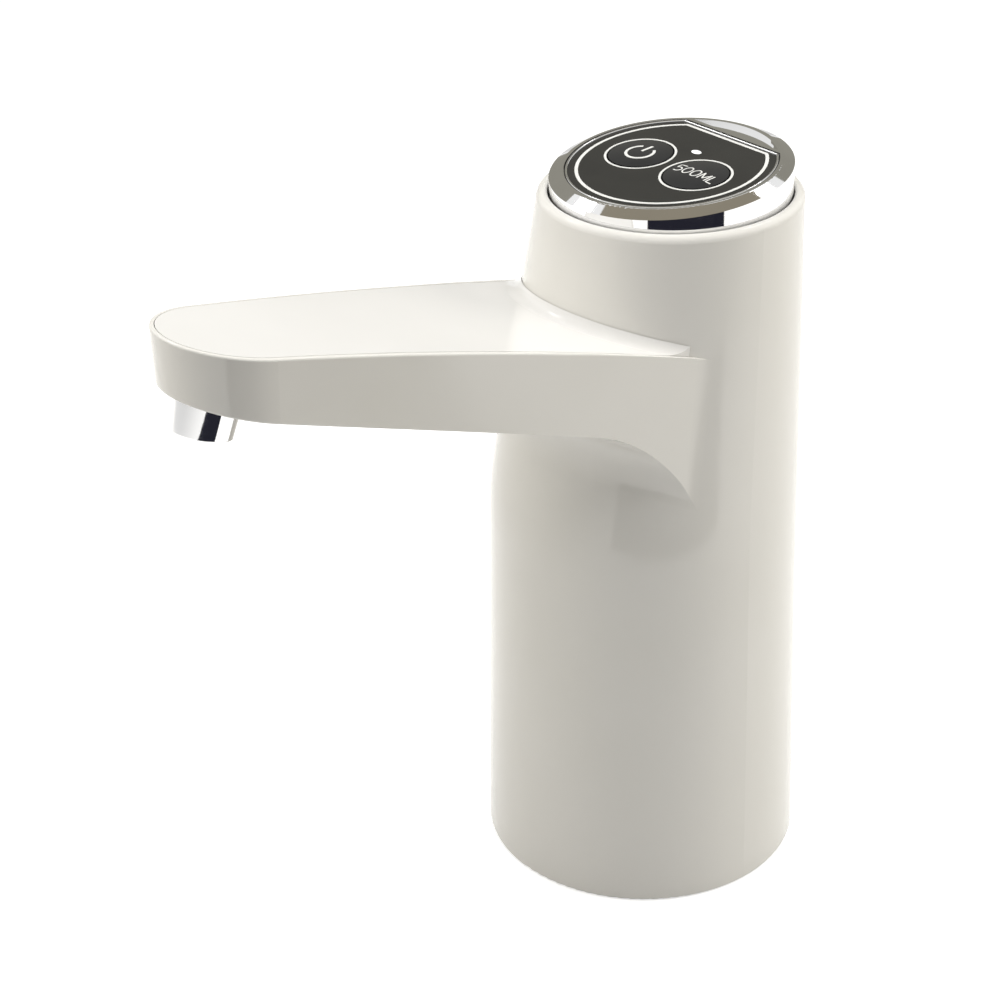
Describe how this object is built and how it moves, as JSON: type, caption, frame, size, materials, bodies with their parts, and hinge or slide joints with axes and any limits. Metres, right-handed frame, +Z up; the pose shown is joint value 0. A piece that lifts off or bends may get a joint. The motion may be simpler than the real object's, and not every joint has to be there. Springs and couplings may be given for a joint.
{
  "type": "bottled water pump dispenser",
  "caption": "Cylindrical pump that fits over a large water bottle's neck, with an upswept flat spout arm, a small chromed nozzle and a round push-key panel on top.",
  "frame": {"origin": "centre of the foot ring, in the plane that the foot rests on", "axes": "+Z up along the lower column's axis, -Y along the spout arm toward the nozzle, +Y toward the charging port, +X to the right seen from behind the spout with the keys facing up"},
  "size_m": [0.07, 0.1487, 0.1596],
  "materials": {
    "shell_white": "glossy moulded ABS",
    "cover_white": "glossy moulded ABS",
    "trim_chrome": "bright plated ABS",
    "panel_black": "piano black acrylic with pale printed lines",
    "key_black": "piano black acrylic with a pale printed symbol",
    "light_clear": "milky light guide",
    "switch_black": "matt black",
    "plunger_white": "matt pale nylon",
    "led_white": "pale epoxy",
    "board_green": "solder mask on glass laminate",
    "screw_steel": "zinc plated",
    "socket_white": "fine grained ABS",
    "grip_silicone": "satin silicone",
    "chassis_grey": "matt ABS",
    "fitting_white": "satin polypropylene",
    "tube_silicone": "translucent silicone",
    "cell_wrap": "shrink sleeve",
    "clip_steel": "sprung strip",
    "pump_black": "matt nylon",
    "pump_rubber": "moulded rubber",
    "wobble_white": "acetal",
    "motor_steel": "zinc plated drawn can",
    "magnet_dark": "sintered ferrite",
    "brass": "plain",
    "rotor_core": "lacquered stack"
  },
  "bodies": {
    "housing": {"body_shell": "shell_white", "arm_cover": "cover_white", "bezel": "trim_chrome", "control_panel": "panel_black", "power_switch": "switch_black", "dose_switch": "switch_black", "light_pipe": "light_clear", "indicator_led": "led_white", "control_board": "board_green", "board_screws": "screw_steel", "bezel_screws": "screw_steel", "base_socket": "socket_white", "neck_grip": "grip_silicone", "socket_screws": "screw_steel", "chassis": "chassis_grey", "chassis_screws": "screw_steel", "inlet_fitting": "fitting_white", "inlet_nut": "fitting_white", "inlet_tube": "tube_silicone", "battery_cell": "cell_wrap", "cell_clip": "clip_steel", "pump_cover": "pump_black", "valve_plate": "pump_black", "diaphragm": "pump_rubber", "pump_frame": "pump_black", "wobble_plate": "wobble_white", "pump_screws": "screw_steel", "pump_pad": "pump_rubber", "motor_can": "motor_steel", "motor_endcap": "wobble_white", "motor_terminals": "brass", "motor_brushes": "brass", "motor_magnets": "magnet_dark", "motor_bushes": "brass", "motor_strap": "clip_steel", "strap_screws": "screw_steel", "charge_board": "board_green", "charge_screws": "screw_steel", "usb_socket": "motor_steel", "outlet_tube": "tube_silicone", "tube_clamps": "clip_steel", "spout_elbow": "fitting_white", "nozzle": "trim_chrome", "nozzle_seal": "pump_rubber", "nozzle_insert": "fitting_white"},
    "power_button": {"power_key": "key_black", "power_plunger": "plunger_white"},
    "dose_button": {"dose_key": "key_black", "dose_plunger": "plunger_white"},
    "rotor": {"motor_rotor": "rotor_core", "crank_hub": "brass"}
  },
  "joints": [
    {"name": "power_button_press", "type": "slide", "parent": "housing", "child": "power_button", "axis": [0, 0.0941, -0.9956], "range_m": [0, 0.0005], "stiffness_N_per_m": 800, "springref_m": -0.0003},
    {"name": "dose_button_press", "type": "slide", "parent": "housing", "child": "dose_button", "axis": [0, 0.0941, -0.9956], "range_m": [0, 0.0005], "stiffness_N_per_m": 800, "springref_m": -0.0003},
    {"name": "rotor_spin", "type": "hinge", "parent": "housing", "child": "rotor", "pos_m": [-0.0075, 0.005, 0.105], "axis": [0, 0, -1], "continuous": true}
  ]
}
